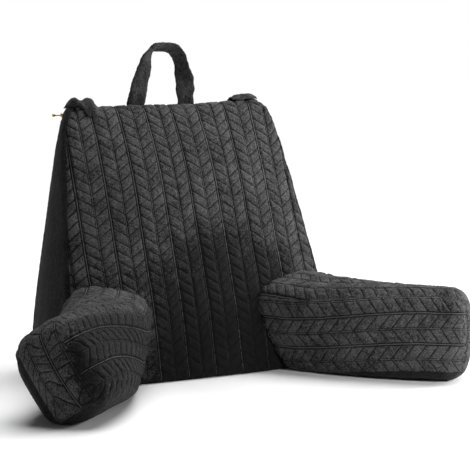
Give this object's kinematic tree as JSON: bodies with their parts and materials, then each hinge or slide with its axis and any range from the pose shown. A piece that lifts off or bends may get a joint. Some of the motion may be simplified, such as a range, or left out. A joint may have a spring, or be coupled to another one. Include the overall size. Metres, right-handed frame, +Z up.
{
  "type": "backrest pillow",
  "caption": "Wedge-shaped backrest pillow with two outswept arms, plaited quilted front, carry handle, shoulder strap tabs and an arm side pocket.",
  "frame": {"origin": "on the flat underside, midway between the arms, below the middle of the backrest's depth", "axes": "+Z up, -Y towards the sitter, out of the quilted front, and +X to the sitter's left when leaning back, from the pocket arm to the plain arm"},
  "size_m": [0.8924, 0.537, 0.61],
  "materials": {
    "backrest_velour": "quilted velour over soft filling",
    "arm_left_velour": "quilted velour over soft filling",
    "arm_right_velour": "quilted velour over soft filling",
    "handle_velour": "plain velour strap",
    "left_tab_velour": "plain velour strap",
    "right_tab_velour": "plain velour strap",
    "pocket_velour": "plain velour",
    "slider_brass": "polished"
  },
  "bodies": {
    "root": {"backrest": "backrest_velour", "arm_left": "arm_left_velour", "arm_right": "arm_right_velour", "handle": "handle_velour", "strap_tab_left": "left_tab_velour", "strap_tab_right": "right_tab_velour", "arm_pocket": "pocket_velour", "zip_slider": "slider_brass"}
  },
  "joints": []
}
